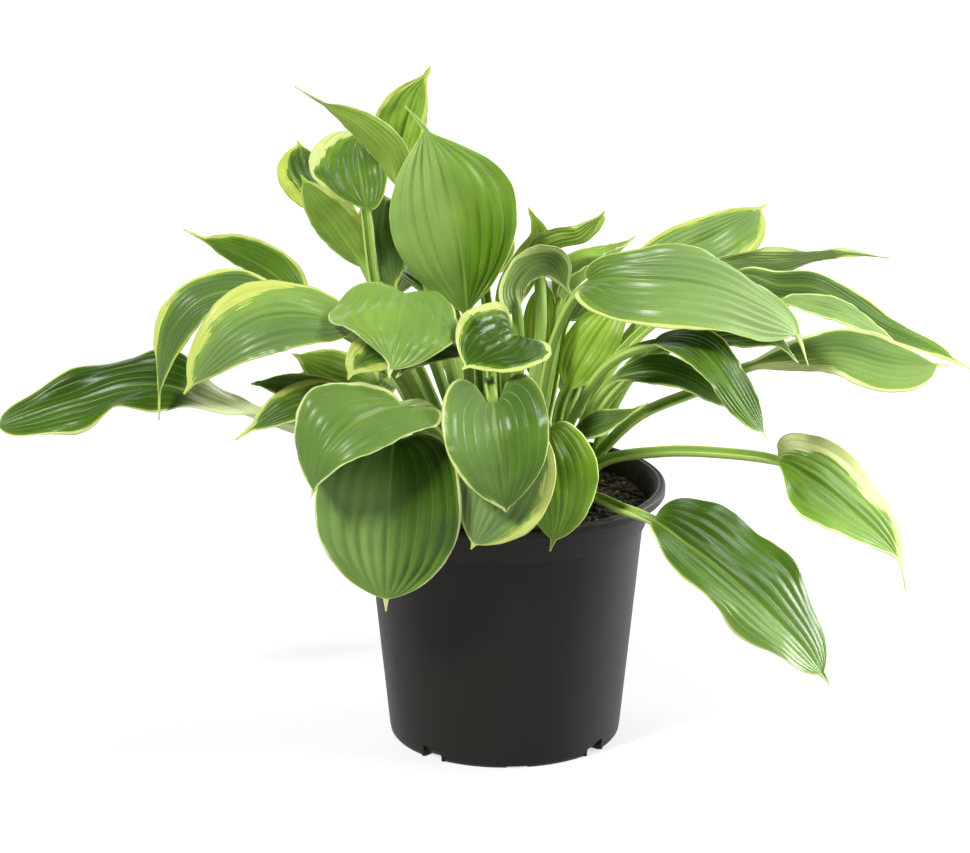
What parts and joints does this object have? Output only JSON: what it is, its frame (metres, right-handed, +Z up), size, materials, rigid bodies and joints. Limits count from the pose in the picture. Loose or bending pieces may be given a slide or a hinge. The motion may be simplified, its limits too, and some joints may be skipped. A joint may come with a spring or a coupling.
{
  "type": "potted hosta plant",
  "caption": "Variegated hosta in a round black nursery pot: broad ribbed green leaves with pale edges arch out on long stalks from a crown in the soil.",
  "frame": {"origin": "centre of the pot's underside, on the surface it stands on", "axes": "+Z up along the pot's axis; -Y towards the front of the plant, as pictured; +X to the right seen from the front, along the widest spread of the leaves"},
  "size_m": [0.6123, 0.3154, 0.413],
  "materials": {
    "pot_plastic": "satin black moulded plastic",
    "potting_soil": "matt, crumbly peat and bark mix",
    "leaf": "satin green leaf"
  },
  "bodies": {
    "root": {"pot": "pot_plastic", "soil": "potting_soil", "leaf_front_big": "leaf", "leaf_front_left": "leaf", "leaf_front_heart": "leaf", "leaf_front_edged": "leaf", "leaf_front_right": "leaf", "leaf_centre_bright": "leaf", "leaf_left_shaded": "leaf", "leaf_left_under": "leaf", "leaf_left_arch": "leaf", "leaf_left_droop": "leaf", "leaf_left_pointed": "leaf", "leaf_far_left": "leaf", "leaf_left_low": "leaf", "leaf_left_dark": "leaf", "leaf_top_big": "leaf", "leaf_top_point": "leaf", "leaf_top_swept": "leaf", "leaf_top_round": "leaf", "leaf_top_folded": "leaf", "leaf_top_dark": "leaf", "leaf_top_yellow": "leaf", "leaf_right_horned": "leaf", "leaf_right_cupped": "leaf", "leaf_centre_curled": "leaf", "leaf_right_big": "leaf", "leaf_back_right_high": "leaf", "leaf_right_wavy": "leaf", "leaf_far_right": "leaf", "leaf_right_fold": "leaf", "leaf_right_level": "leaf", "leaf_right_droop": "leaf", "leaf_right_shaded": "leaf", "leaf_right_tail": "leaf", "leaf_right_small": "leaf", "leaf_right_reaching": "leaf", "leaf_right_low": "leaf", "leaf_centre_dark": "leaf", "leaf_centre_slim": "leaf", "leaf_centre_upright": "leaf", "leaf_young_left": "leaf", "leaf_young_right": "leaf", "leaf_back_low": "leaf", "leaf_back_low_left": "leaf", "leaf_back_low_right": "leaf", "leaf_back_wide_left": "leaf", "leaf_back_wide_right": "leaf", "leaf_back_high": "leaf", "leaf_back_high_right": "leaf", "leaf_back_high_left": "leaf"}
  },
  "joints": []
}
